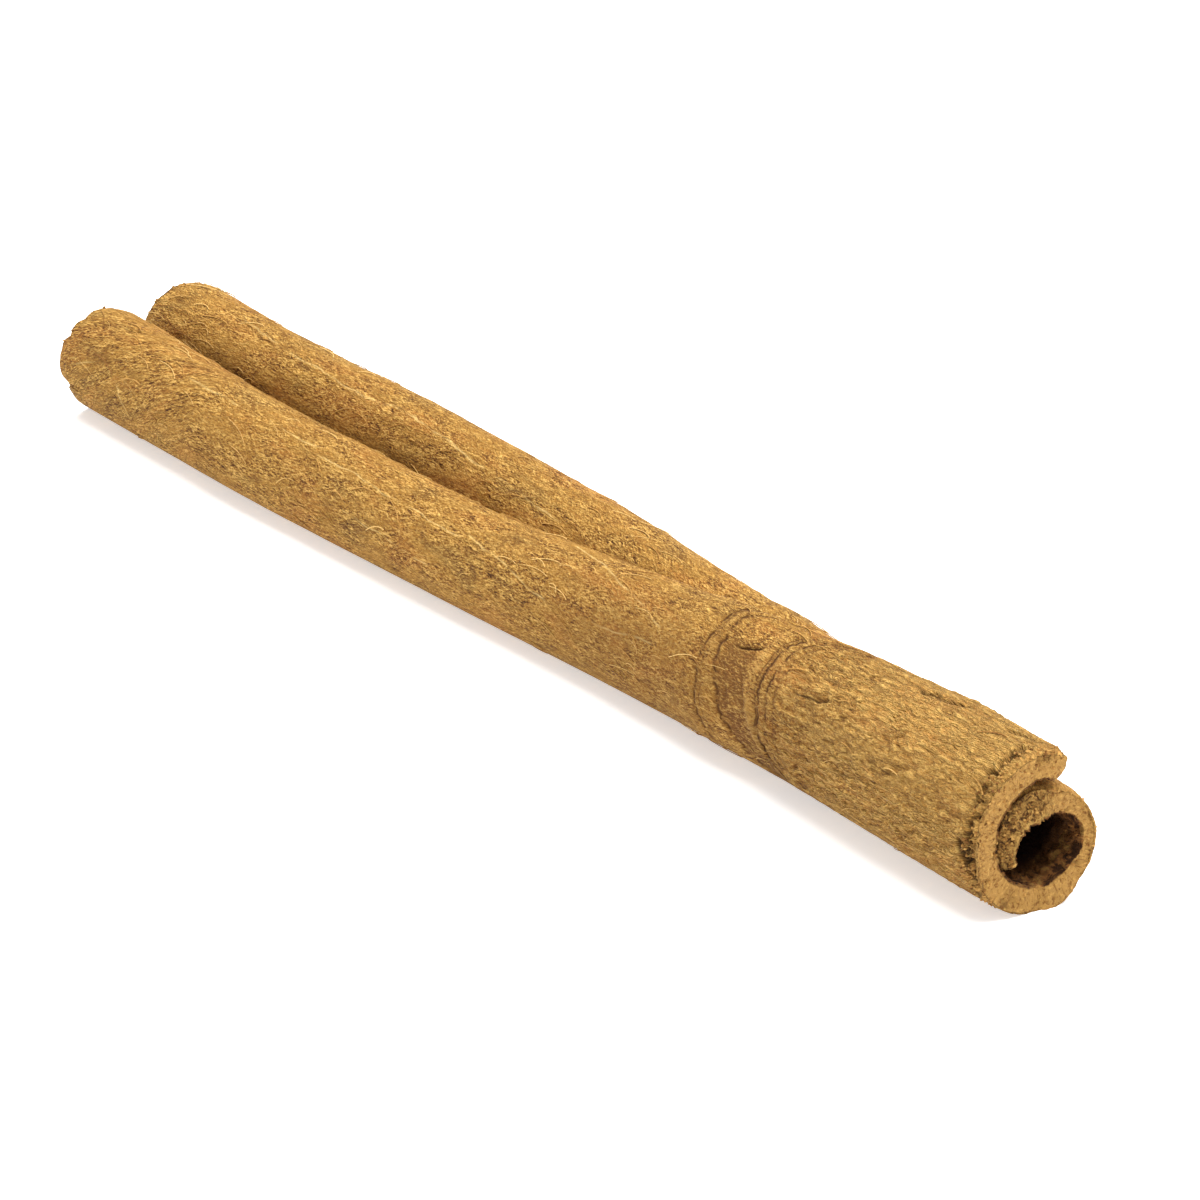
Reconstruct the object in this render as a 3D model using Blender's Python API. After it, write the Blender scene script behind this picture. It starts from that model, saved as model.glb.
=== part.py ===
"""Cinnamon stick: one sheet of bark curled from both long edges.

The section is a sheet with a flat foot between two rolls. At the far end the
two rolls lie side by side. Towards the near end the front part opens over the
back roll, and the section becomes one spiral. Lengths are in metres, X runs
along the stick from the far end to the near end, and Z is up.
"""

import math

import bmesh
import bpy
from mathutils import Vector

MM = 0.001

# The two cuts, in millimetres along the stick
FAR_CUT = -0.9
NEAR_CUT = 80.5
FOOT_CUT = 0.05 * MM          # the rolls are pressed this far into the flat foot

# Sizes of the two rolls at five places from the far end to the near end
FRONT_RADIUS = (2.94, 2.69, 2.69, 3.88, 4.18)
BACK_RADIUS = (3.00, 3.04, 3.07, 3.03, 3.21)
FRONT_ACROSS = (-2.53, -2.43, -1.17, 0.21, -0.21)
BACK_ACROSS = (2.55, 3.08, 3.00, 1.77, 0.19)
FRONT_WRAP = (285.0, 254.0, 211.0, 182.0, 203.0)
BACK_WRAP = (290.0, 290.0, 290.0, 290.0, 288.0)
SPANS = ((0.0, 28.0), (12.0, 48.0), (32.0, 68.0), (52.0, 80.0))

# How tightly the hidden edges curl in
FRONT_CURL = 0.30
BACK_CURL = (0.36, 0.37, 0.37, 0.36, 0.29)
CURL_FROM = 150.0
CURL_OVER = 140.0

# Thickness of the bark
SHEET = 1.28 * MM
FRONT_SWELL = 0.48 * MM
BACK_THIN = 0.50 * MM
BACK_SWELL = 0.30 * MM
EDGE_ROUND = 0.34

# Ends, node ring and slow waves of the skin
LIP_ROUND = 5.0
LIP_SWELL = 0.18 * MM
LIP_SWELL_AT = 73.0
RAGGED = 0.40 * MM
FAR_SLANT = 0.55 * MM
FAR_NOTCH = 0.70 * MM
RIM_WEAR = 0.14 * MM
RIM_LENGTH = 1.0
RING_AT = 56.0
RING_HEIGHT = 0.13 * MM
WAIST_DEPTH = 0.10 * MM
WAVE = 0.05 * MM

# Mesh density
FRONT_STEPS = 22
FOOT_STEPS = 4
BACK_STEPS = 22

BARK_COLOUR = (0.47, 0.24, 0.075, 1.0)
BARK_ROUGHNESS = 0.82


def ease(value, start, end):
    """Smooth step from 0 at start to 1 at end."""
    t = min(max((value - start) / (end - start), 0.0), 1.0)
    return t * t * (3.0 - 2.0 * t)


def blend(x, sizes):
    """Size at x millimetres from the far end, eased through five places."""
    total = sizes[0]
    for (start, end), low, high in zip(SPANS, sizes[:-1], sizes[1:]):
        total += (high - low) * ease(x, start, end)
    return total


def bump(value, centre, width):
    """Bell curve of height 1."""
    return math.exp(-(((value - centre) / width) ** 2))


def curl(angle, amount):
    """Share of the radius that is left where the sheet curls in."""
    return 1.0 - amount * max((angle - CURL_FROM) / CURL_OVER, 0.0) ** 1.5


def skin_relief(x, angle):
    """Height of the outer skin over the plain roll: ring, waist, lip and waves."""
    off_foot = ease(angle, 25.0, 70.0)
    turn = math.radians(angle)
    ring = RING_HEIGHT * bump(x, RING_AT + 1.4 * math.cos(turn), 1.7)
    waist = WAIST_DEPTH * bump(x, RING_AT + 6.0, 3.4)
    wave = WAVE * (math.sin(x / 3.1 + 2.0 * turn) + math.sin(x / 5.3 - 3.0 * turn + 1.0))
    lip = LIP_SWELL * bump(x, LIP_SWELL_AT, 3.2) * ease(angle, 140.0, 180.0)
    return off_foot * (ring - waist + lip + wave)


def front_thickness(angle):
    """Bark thickness round the front part, from the foot to its lip."""
    return SHEET + FRONT_SWELL * math.sin(math.radians(0.75 * angle))


def back_thickness(angle):
    """Bark thickness round the back roll, from the foot to its hidden edge."""
    plain = SHEET - BACK_THIN * bump(angle, 95.0, 40.0) + BACK_SWELL * bump(angle, 180.0, 40.0)
    return plain * (1.0 - 0.45 * ease(angle, 215.0, 290.0))


class Station:
    """Section of the stick at one place along its length."""

    def __init__(self, x):
        self.x = x
        self.front_radius = blend(x, FRONT_RADIUS) * MM
        self.back_radius = blend(x, BACK_RADIUS) * MM
        self.front_across = blend(x, FRONT_ACROSS) * MM
        self.back_across = blend(x, BACK_ACROSS) * MM
        self.front_wrap = blend(x, FRONT_WRAP) - LIP_ROUND * ease(x, NEAR_CUT - 1.7, NEAR_CUT)
        self.back_wrap = blend(x, BACK_WRAP)
        self.front_curl = FRONT_CURL * ease(self.front_wrap, 205.0, 285.0)
        self.back_curl = blend(x, BACK_CURL)

    def wear(self):
        """How much the outer rim is worn at the two ends."""
        near = ease(self.x, NEAR_CUT - RIM_LENGTH, NEAR_CUT)
        return RIM_WEAR * (near + 1.0 - ease(self.x, FAR_CUT, FAR_CUT + RIM_LENGTH))

    def front(self, angle, depth):
        """Point of the front part, depth 0 on the outer skin and 1 inside."""
        skin = self.front_radius * curl(angle, self.front_curl)
        skin += (1.0 - depth) * (skin_relief(self.x, angle) - self.wear() * ease(angle, 25.0, 70.0))
        radius = skin - depth * front_thickness(angle)
        turn = math.radians(angle)
        height = self.front_radius - FOOT_CUT - radius * math.cos(turn)
        return self.front_across - radius * math.sin(turn), max(height, 0.0)

    def back(self, angle, depth):
        """Point of the back roll, depth 0 on the outer skin and 1 inside."""
        skin = self.back_radius * curl(angle, self.back_curl)
        skin += (1.0 - depth) * (skin_relief(self.x, -angle) - self.wear() * ease(angle, 25.0, 70.0))
        radius = skin - depth * back_thickness(angle)
        turn = math.radians(angle)
        height = self.back_radius - FOOT_CUT - radius * math.cos(turn)
        return self.back_across + radius * math.sin(turn), max(height, 0.0)

    def sheet(self, depth):
        """Row of points from the front lip over the foot to the hidden edge."""
        row = [self.front(self.front_wrap * (1.0 - i / FRONT_STEPS), depth)
               for i in range(FRONT_STEPS)]
        for i in range(FOOT_STEPS + 1):
            share = i / FOOT_STEPS
            across = self.front_across + (self.back_across - self.front_across) * share
            row.append((across, depth * (SHEET - FOOT_CUT)))
        row += [self.back(self.back_wrap * i / BACK_STEPS, depth)
                for i in range(1, BACK_STEPS + 1)]
        return row


def rounded_edge(outer, inner, beside):
    """Three points of a rounded long edge between the two skins."""
    away = (outer[0] - beside[0], outer[1] - beside[1])
    span = math.hypot(*away)
    thick = math.dist(outer, inner)
    points = []
    for share, reach in ((0.2, 0.7), (0.5, 1.0), (0.8, 0.7)):
        push = EDGE_ROUND * thick * reach / span
        points.append((outer[0] + (inner[0] - outer[0]) * share + away[0] * push,
                       outer[1] + (inner[1] - outer[1]) * share + away[1] * push))
    return points


def end_shift(x, share, depth):
    """How far an end point sits from the plain cut, uneven round the rim."""
    turn = 2.0 * math.pi * share
    if x <= FAR_CUT:
        uneven = 0.6 * math.sin(2.0 * turn + 0.6) + 0.4 * math.sin(5.0 * turn)
        plain = RAGGED * (0.9 * (1.0 + uneven) / 2.0 + 0.3 * bump(depth, 0.5, 0.3))
        return plain + FAR_NOTCH * bump(share, 0.355, 0.045) - FAR_SLANT * share
    uneven = 0.5 * math.sin(3.0 * turn + 1.0) + 0.5 * math.sin(7.0 * turn)
    return -RAGGED * (0.6 * (1.0 + uneven) / 2.0 + 0.5 * depth)


def stations():
    """Places along the stick, closer together at the ends and the ring."""
    places = [FAR_CUT, FAR_CUT + 0.8, 1.4, 4.0]
    places += [4.0 + 2.55 * i for i in range(1, 19)]
    places += [51.5 + 1.5 * i for i in range(9)]
    places += [66.2, 68.8, 71.4, 74.0, 76.4, 78.4, NEAR_CUT - 0.9, NEAR_CUT]
    return places


def build_quill():
    """Build the closed body of the stick."""
    mesh = bmesh.new()
    count = FRONT_STEPS + FOOT_STEPS + 1 + BACK_STEPS
    rings = []
    middles = []
    for x in stations():
        station = Station(x)
        outer = station.sheet(0.0)
        inner = station.sheet(1.0)
        hidden = rounded_edge(outer[-1], inner[-1], outer[-2])
        lip = rounded_edge(outer[0], inner[0], outer[1])
        at_end = x in (FAR_CUT, NEAR_CUT)

        def place(point, share, depth):
            shift = end_shift(x, share, depth) if at_end else 0.0
            return mesh.verts.new((x * MM + shift, point[0], point[1]))

        ring = [place(p, i / (count - 1), 0.0) for i, p in enumerate(outer)]
        ring += [place(p, 1.0, d) for p, d in zip(hidden, (0.2, 0.5, 0.8))]
        ring += [place(inner[i], i / (count - 1), 1.0) for i in range(count - 1, -1, -1)]
        ring += [place(p, 0.0, d) for p, d in zip(reversed(lip), (0.8, 0.5, 0.2))]
        rings.append(ring)
        if at_end:
            middles.append([place(((o[0] + n[0]) / 2.0, (o[1] + n[1]) / 2.0), i / (count - 1), 0.5)
                            for i, (o, n) in enumerate(zip(outer, inner))])

    for left, right in zip(rings[:-1], rings[1:]):
        size = len(left)
        for i in range(size):
            j = (i + 1) % size
            mesh.faces.new((left[i], right[i], right[j], left[j]))
    for ring, middle, flip in ((rings[0], middles[0], True), (rings[-1], middles[1], False)):
        close_end(mesh, ring, middle, count, flip)

    bmesh.ops.triangulate(mesh, faces=mesh.faces[:])
    bmesh.ops.recalc_face_normals(mesh, faces=mesh.faces[:])
    centre_over_origin(mesh)
    data = bpy.data.meshes.new("cinnamon_quill")
    mesh.to_mesh(data)
    mesh.free()
    body = bpy.data.objects.new("cinnamon_quill", data)
    bpy.context.scene.collection.objects.link(body)
    data.shade_smooth()
    data.set_sharp_from_angle(angle=math.radians(40.0))
    return body


def centre_over_origin(mesh):
    """Move the body so that its bounding box stands centred on the origin."""
    along = [v.co.x for v in mesh.verts]
    across = [v.co.y for v in mesh.verts]
    shift = Vector((-(min(along) + max(along)) / 2.0, -(min(across) + max(across)) / 2.0, 0.0))
    bmesh.ops.translate(mesh, vec=shift, verts=mesh.verts[:])


def close_end(mesh, ring, middle, count, flip):
    """Close one end with the cut face of the sheet."""
    inner = [ring[2 * count + 2 - i] for i in range(count)]
    hidden = ring[count:count + 3]
    lip = ring[2 * count + 3:]
    faces = []
    for i in range(count - 1):
        faces.append((ring[i], ring[i + 1], middle[i + 1], middle[i]))
        faces.append((middle[i], middle[i + 1], inner[i + 1], inner[i]))
    for chain, hub in (([ring[count - 1], *hidden, inner[-1]], middle[-1]),
                       ([inner[0], *lip, ring[0]], middle[0])):
        faces += [(a, b, hub) for a, b in zip(chain[:-1], chain[1:])]
    for corners in faces:
        mesh.faces.new(tuple(reversed(corners)) if flip else corners)


def bark_material():
    """Plain bark colour of the stick."""
    material = bpy.data.materials.new("cinnamon_bark")
    material.use_nodes = True
    shader = material.node_tree.nodes["Principled BSDF"]
    shader.inputs["Base Color"].default_value = BARK_COLOUR
    shader.inputs["Roughness"].default_value = BARK_ROUGHNESS
    shader.inputs["Metallic"].default_value = 0.0
    return material


def main():
    for item in list(bpy.data.objects):
        bpy.data.objects.remove(item, do_unlink=True)
    body = build_quill()
    body.data.materials.append(bark_material())


main()
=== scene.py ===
"""Looks of a dried cinnamon stick: one sheet of bark curled from both edges.

The stick lies on its flat foot. X runs from the far end, where two rolls lie
side by side, to the near end, where the front part has opened over the back
roll. Sizes on the dataclasses are millimetres and degrees unless a docstring
says otherwise, and the meshes are in metres in the row frame.
"""

import logging
import math
from dataclasses import dataclass, field
from enum import Enum
from typing import Sequence, Union

import bpy
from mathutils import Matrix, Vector


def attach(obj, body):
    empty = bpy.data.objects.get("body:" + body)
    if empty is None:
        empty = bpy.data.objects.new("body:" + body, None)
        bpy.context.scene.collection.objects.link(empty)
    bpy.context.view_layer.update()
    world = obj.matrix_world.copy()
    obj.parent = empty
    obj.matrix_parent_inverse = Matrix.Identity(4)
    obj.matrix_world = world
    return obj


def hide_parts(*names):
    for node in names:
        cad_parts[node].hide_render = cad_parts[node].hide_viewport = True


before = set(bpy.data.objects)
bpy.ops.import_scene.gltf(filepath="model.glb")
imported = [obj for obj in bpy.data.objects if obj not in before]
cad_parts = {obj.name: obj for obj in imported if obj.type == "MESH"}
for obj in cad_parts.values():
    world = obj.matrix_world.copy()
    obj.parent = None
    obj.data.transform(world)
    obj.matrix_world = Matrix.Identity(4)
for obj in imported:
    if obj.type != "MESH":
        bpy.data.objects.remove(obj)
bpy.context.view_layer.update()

LOG = logging.getLogger("cinnamon_stick")
MM = 0.001
PHOTO_PIXELS = 1200
WHITE = (1.0, 1.0, 1.0, 1.0)
# A colour Mix node gives several sockets one name, so these are known by their number.
MIX_SHARE, MIX_UNDER, MIX_OVER, MIX_RESULT = 0, 6, 7, 2
Colour = tuple[float, float, float]
Stages = tuple[float, float, float, float, float]


class StickEnd(Enum):
    """The two cut ends of the stick, by their place along it."""

    FAR = -0.9
    NEAR = 80.5


def linear(red: int, green: int, blue: int) -> Colour:
    """Turn a colour as seen on screen into the linear values of a shader.

    Args:
        red: Red from 0 to 255.
        green: Green from 0 to 255.
        blue: Blue from 0 to 255.

    Returns:
        The linear colour.
    """
    def channel(value: int) -> float:
        """One channel of the colour."""
        share = value / 255.0
        return share / 12.92 if share <= 0.04045 else ((share + 0.055) / 1.055) ** 2.4

    return channel(red), channel(green), channel(blue)


class Amount:
    """A number that a node tree works out, written with ordinary arithmetic."""

    def __init__(self, tree: bpy.types.NodeTree, socket: bpy.types.NodeSocket) -> None:
        """Keep the tree and the socket that carries the number."""
        self.tree = tree
        self.socket = socket

    def join(self, operation: str, *others: "Number") -> "Amount":
        """Add one Math node that starts from this number.

        Args:
            operation: Name of the node's operation.
            others: The other numbers of the operation.

        Returns:
            The result.
        """
        return calculate(self.tree, operation, self, *others)

    def __add__(self, other: "Number") -> "Amount":
        """Sum."""
        return self.join("ADD", other)

    def __sub__(self, other: "Number") -> "Amount":
        """Difference."""
        return self.join("SUBTRACT", other)

    def __rsub__(self, other: float) -> "Amount":
        """Difference from a plain number."""
        return calculate(self.tree, "SUBTRACT", other, self)

    def __mul__(self, other: "Number") -> "Amount":
        """Product."""
        return self.join("MULTIPLY", other)

    def __truediv__(self, other: "Number") -> "Amount":
        """Quotient."""
        return self.join("DIVIDE", other)

    def __neg__(self) -> "Amount":
        """Opposite."""
        return self.join("MULTIPLY", -1.0)

    def __pow__(self, other: "Number") -> "Amount":
        """Power."""
        return self.join("POWER", other)

    def sin(self) -> "Amount":
        """Sine."""
        return self.join("SINE")

    def cos(self) -> "Amount":
        """Cosine."""
        return self.join("COSINE")

    def size(self) -> "Amount":
        """Absolute value."""
        return self.join("ABSOLUTE")

    def sign(self) -> "Amount":
        """Minus one, zero or one."""
        return self.join("SIGN")

    def least(self, low: float) -> "Amount":
        """The number, or the given one where that is larger."""
        return self.join("MAXIMUM", low)

    def most(self, high: float) -> "Amount":
        """The number, or the given one where that is smaller."""
        return self.join("MINIMUM", high)

    def held(self) -> "Amount":
        """The number kept between 0 and 1."""
        return self.least(0.0).most(1.0)

    def ease(self, start: float, end: float) -> "Amount":
        """Smooth step from 0 at start to 1 at end."""
        node = self.tree.nodes.new("ShaderNodeMapRange")
        node.interpolation_type = "SMOOTHSTEP"
        feed(self.tree, self, node.inputs["Value"])
        if end < start:
            start, end = end, start
            node.inputs["To Min"].default_value = 1.0
            node.inputs["To Max"].default_value = 0.0
        node.inputs["From Min"].default_value = start
        node.inputs["From Max"].default_value = end
        return Amount(self.tree, node.outputs["Result"])

    def bump(self, centre: "Number", width: "Number") -> "Amount":
        """Bell curve of height 1 round a centre."""
        offset = (self - centre) / width
        return (-(offset * offset)).join("EXPONENT")


Number = Union[Amount, float]


def feed(tree: bpy.types.NodeTree, value: Number, socket: bpy.types.NodeSocket) -> None:
    """Put a number on a node's input.

    Args:
        tree: The tree that holds the node.
        value: A plain number, or one that the tree works out.
        socket: The input.
    """
    if isinstance(value, Amount):
        tree.links.new(value.socket, socket)
    else:
        socket.default_value = value


def calculate(tree: bpy.types.NodeTree, operation: str, *numbers: Number) -> Amount:
    """Add a Math node.

    Args:
        tree: The tree that gets the node.
        operation: Name of the node's operation.
        numbers: Its inputs in order.

    Returns:
        The result.
    """
    node = tree.nodes.new("ShaderNodeMath")
    node.operation = operation
    for number, socket in zip(numbers, node.inputs):
        feed(tree, number, socket)
    return Amount(tree, node.outputs[0])


def mixed(low: Number, high: Number, share: Amount) -> Amount:
    """Blend from one number to another.

    Args:
        low: Value where share is 0.
        high: Value where share is 1.
        share: Place between the two.

    Returns:
        The blended number.
    """
    if isinstance(low, Amount):
        return low + (high - low) * share
    return share * (high - low) + low


def point(tree: bpy.types.NodeTree, x: Number, y: Number, z: Number) -> bpy.types.NodeSocket:
    """Join three numbers into a vector.

    Args:
        tree: The tree that gets the node.
        x: First number.
        y: Second number.
        z: Third number.

    Returns:
        The socket that carries the vector.
    """
    node = tree.nodes.new("ShaderNodeCombineXYZ")
    for number, socket in zip((x, y, z), node.inputs):
        feed(tree, number, socket)
    return node.outputs[0]


def grain(tree: bpy.types.NodeTree, where: Union[bpy.types.NodeSocket, tuple[Number, Number, Number]],
          detail: float = 3.0, rough: float = 0.5, bend: float = 0.0, scale: float = 1.0) -> Amount:
    """Smooth random pattern between 0 and 1.

    Args:
        tree: The tree that gets the node.
        where: Vector that the pattern is read at, or its three numbers.
        detail: How many finer layers it has.
        rough: How strong the finer layers are.
        bend: How much the pattern is warped.
        scale: How many features fit in one unit.

    Returns:
        The pattern's value.
    """
    node = tree.nodes.new("ShaderNodeTexNoise")
    tree.links.new(point(tree, *where) if isinstance(where, tuple) else where, node.inputs["Vector"])
    node.inputs["Scale"].default_value = scale
    node.inputs["Detail"].default_value = detail
    node.inputs["Roughness"].default_value = rough
    node.inputs["Distortion"].default_value = bend
    return Amount(tree, node.outputs[0])


class Paint:
    """A colour that a material's tree mixes layer by layer."""

    def __init__(self, tree: bpy.types.NodeTree, colour: Colour) -> None:
        """Start from one plain colour."""
        self.tree = tree
        self.plain: Union[Colour, None] = colour
        self.socket: Union[bpy.types.NodeSocket, None] = None

    def over(self, colour: Union[Colour, bpy.types.NodeSocket], share: Number) -> "Paint":
        """Lay a colour over what is there.

        Args:
            colour: The new colour, plain or from another paint.
            share: How much of it shows, from 0 to 1.

        Returns:
            The paint itself, so that layers can follow each other.
        """
        node = self.tree.nodes.new("ShaderNodeMix")
        node.data_type = "RGBA"
        node.clamp_result = True
        if self.socket is None:
            node.inputs[MIX_UNDER].default_value = (*self.plain, 1.0)
        else:
            self.tree.links.new(self.socket, node.inputs[MIX_UNDER])
        if isinstance(colour, bpy.types.NodeSocket):
            self.tree.links.new(colour, node.inputs[MIX_OVER])
        else:
            node.inputs[MIX_OVER].default_value = (*colour, 1.0)
        feed(self.tree, share, node.inputs[MIX_SHARE])
        self.socket = node.outputs[MIX_RESULT]
        return self


@dataclass(frozen=True)
class Stroke:
    """A thin wavering line between two places on the sheet, each as along and up."""

    start: tuple[float, float]
    end: tuple[float, float]
    width: float
    sway: float = 0.08
    strength: float = 1.0


@dataclass(frozen=True)
class Crease:
    """A crease of the node ring that arches over the front part.

    The crown is its furthest place along the stick, and low and high say how fast it
    leans to the near end below and above the crown.
    """

    crown: float
    low: float
    high: float
    width: float
    strength: float


CREASES = (
    Crease(54.7, 0.10, 0.04, 0.04, 0.35), Crease(55.75, 0.115, 0.05, 0.08, 1.0),
    Crease(56.0, 0.14, 0.05, 0.05, 0.6), Crease(56.6, 0.25, 0.09, 0.11, 1.0),
    Crease(57.4, 0.26, 0.09, 0.05, 0.5), Crease(59.3, 0.18, 0.05, 0.05, 0.5),
    Crease(60.75, 0.15, 0.04, 0.06, 0.7), Crease(61.1, 0.12, 0.04, 0.09, 1.0),
    Crease(61.8, 0.12, 0.03, 0.09, 0.9), Crease(62.5, 0.12, 0.03, 0.06, 0.6),
)
SPLITS = (
    Stroke((70.8, 12.8), (74.2, 13.4), 0.13, 0.12, 1.5),
    Stroke((77.2, 13.6), (79.2, 14.2), 0.16),
    Stroke((79.25, 6.9), (80.4, 4.1), 0.13, 0.10),
    Stroke((79.95, 7.2), (80.45, 5.5), 0.12, 0.06),
    Stroke((64.0, 9.0), (66.7, 9.4), 0.05, 0.16, 0.8),
    Stroke((2.7, 8.45), (3.7, 8.75), 0.06, 0.03, 0.8),
    Stroke((58.1, 9.3), (59.8, 9.95), 0.07, 0.04, 0.9),
)
VEINS = tuple(Stroke(start, end, width, 0.06) for start, end, width in (
    ((35.5, 6.9), (43.2, 5.8), 0.054), ((41.5, 9.7), (52.3, 7.9), 0.054),
    ((47.6, 6.2), (52.4, 6.9), 0.048), ((10.0, 7.65), (14.6, 7.5), 0.060),
    ((18.6, 7.5), (21.8, 7.4), 0.048), ((5.0, 5.3), (6.1, 3.9), 0.072),
    ((0.8, 5.3), (2.7, 6.0), 0.036), ((22.0, 7.1), (35.0, 6.5), 0.042),
    ((26.0, 5.0), (33.5, 4.4), 0.036), ((5.6, -14.6), (10.0, -15.4), 0.072),
    ((10.0, -15.4), (17.5, -15.8), 0.054), ((17.3, -15.8), (22.6, -15.45), 0.072),
    ((22.4, -15.45), (28.6, -15.85), 0.072), ((28.4, -15.85), (37.0, -15.9), 0.054)))


@dataclass
class BarkPattern:
    """The bark's grain as numbers of one tree, read alike by the sheet's shape and its finish.

    Places are unrolled millimetres: x along the stick and girth round the sheet from
    the foot, negative on the front part, where up is the height from the foot.
    """

    tree: bpy.types.NodeTree
    x: Amount
    girth: Amount

    def __post_init__(self) -> None:
        """Work out what most patterns share."""
        self.up = -self.girth
        self.on_front = (self.up * 4.0).held()
        self.twisted = self.girth - (12.0 - self.x).least(0.0) * self.on_front * 0.4
        self.coarse = self.x.ease(59.5, 65.0) * mixed(0.35, 1.0, self.on_front)

    def streaks(self, long: float, wide: float, lean: float = 0.0, seed: float = 0.0,
                detail: float = 2.0, rough: float = 0.6, bend: float = 0.4) -> Amount:
        """Random streaks that run along the stick.

        Args:
            long: Streaks in a millimetre along the stick.
            wide: Streaks in a millimetre round the sheet.
            lean: How far they lean, as rise over run.
            seed: Offset that makes them unlike other streaks.
            detail: Finer layers.
            rough: Strength of the finer layers.
            bend: How much they wander.

        Returns:
            The streaks, round 0.5.
        """
        across = (self.twisted + self.x * lean) * wide if lean else self.twisted * wide
        return grain(self.tree, (self.x * long, across, seed), detail, rough, bend)

    def hairs(self, long: float, wide: float, lean: float, seed: float, sharp: float = 9.0) -> Amount:
        """Thin wandering fibres, 1 along a fibre and 0 between fibres.

        Args:
            long: Fibres in a millimetre along the stick.
            wide: Fibres in a millimetre round the sheet.
            lean: How far they lean, as rise over run.
            seed: Offset that makes them unlike other fibres.
            sharp: How thin they are.

        Returns:
            The fibres.
        """
        field = self.streaks(long, wide, lean, seed, 1.0, 0.5, 0.7)
        return ((field - 0.5).size() * -sharp + 1.0).held()

    def lumps(self) -> Amount:
        """Coarse corky lumps of the near end, round 0.5."""
        return self.streaks(1.05, 3.9, 0.06, 21.0, 3.0, 0.6, 0.9)

    def scales(self, lumps: Amount) -> tuple[Amount, Amount]:
        """Overlapping scales that the lumps break up into.

        Args:
            lumps: The lumps that they follow.

        Returns:
            Their height from 0 to 1, and the painted shade in the gaps at their feet.
        """
        rise = (lumps * 4.0).join("FRACT")
        return rise, rise.bump(0.0, 0.14)

    def patches(self) -> Amount:
        """Broad patches of a slightly different colour."""
        return self.streaks(0.17, 0.42, 0.0, 40.0, 3.0, 0.55, 0.6)

    def busy(self) -> Amount:
        """Where the fibres stand out more, from 0 to 1."""
        return self.streaks(0.30, 0.75, 0.1, 80.0, 3.0, 0.6, 0.7).ease(0.36, 0.64)

    def waves(self) -> Amount:
        """Shallow dents and swellings a few millimetres long."""
        return self.streaks(0.22, 0.55, 0.0, 60.0, 2.0, 0.5, 0.3) - 0.5

    def arch(self, place: float, low: float, high: float = 0.09) -> Amount:
        """How far a place lies behind a line that arches over the front part.

        Args:
            place: Where the line's crown lies along the stick.
            low: How fast it leans to the near end below the crown.
            high: How fast it does above the crown.

        Returns:
            The distance along the stick.
        """
        below = (10.0 - self.up).least(0.0)
        above = (self.up - 10.0).least(0.0)
        return self.x - (below ** 1.5 * low + above ** 4.0 * high + place)

    def wander(self, long: float, wide: float, seed: float, detail: float, rough: float) -> Amount:
        """How far the lines of the node ring stray, round zero."""
        return grain(self.tree, (self.x * long, self.up * wide, seed), detail, rough) - 0.5

    def arcs(self) -> Amount:
        """Thin concentric creases of the node ring, on the front part."""
        wander = self.wander(0.12, 0.8, 3.0, 3.0, 0.55) * 0.8
        broken = grain(self.tree, (self.x * 1.2, self.up * 1.3, 17.0), 3.0, 0.65, 0.4)
        total: Amount = self.up * 0.0
        for mark in CREASES:
            line = self.arch(mark.crown, mark.low, mark.high) - wander
            crease = line.bump(0.0, mark.width) * broken.ease(0.40, 0.54)
            total = total + (crease + line.bump(0.0, mark.width * 3.5) * 0.22) * mark.strength
        return total * self.up.ease(1.5, 3.5) * self.up.ease(13.4, 12.2)

    def ring_ridge(self) -> Amount:
        """Pale raised lines beside the dark centre of the node ring."""
        wander = self.wander(0.3, 0.7, 33.0, 2.0, 0.5) * 0.7
        behind = (self.arch(60.15, 0.17, 0.04) - wander).bump(0.0, 0.36) * self.up.ease(1.0, 3.0)
        ahead = (self.arch(56.25, 0.19, 0.09) - wander).bump(0.0, 0.28) * self.up.ease(6.5, 8.5)
        return (behind + ahead * 0.8) * self.up.ease(12.6, 10.5)

    def ring_band(self) -> Amount:
        """Darker centre of the node ring, on the front part."""
        across = self.arch(58.25, 0.21) + self.wander(0.9, 0.9, 8.0, 3.0, 0.6) * 1.4
        along = across.ease(-1.7, -0.9) * across.ease(1.5, 0.9)
        return along * self.up.ease(0.5, 2.5) * self.up.ease(10.2, 9.2)

    def line(self, mark: Stroke) -> Amount:
        """Draw one thin wavering line.

        Args:
            mark: Its ends, half its width, how far it wavers and its strength.

        Returns:
            The strength on the line, falling to zero beside it.
        """
        reach = (mark.end[0] - mark.start[0], mark.end[1] - mark.start[1])
        span = math.hypot(*reach)
        unit = (reach[0] / span, reach[1] / span)
        right, above = self.x - mark.start[0], self.up - mark.start[1]
        forward = right * unit[0] + above * unit[1]
        aside = above * unit[0] - right * unit[1]
        aside = aside + ((forward * 1.3).sin() + (forward * 3.1 + 1.0).sin() * 0.5) * mark.sway
        body = aside.bump(0.0, mark.width) * forward.ease(-0.25, 0.25)
        return body * forward.ease(span + 0.25, span - 0.25) * mark.strength

    def lines(self, marks: Sequence[Stroke]) -> Amount:
        """Draw several lines on one another."""
        total: Amount = self.up * 0.0
        for mark in marks:
            total = total + self.line(mark)
        return total

    def splits(self) -> Amount:
        """Open cracks near the lip, under the ring and in the coarse skin."""
        return self.lines(SPLITS)

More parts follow.
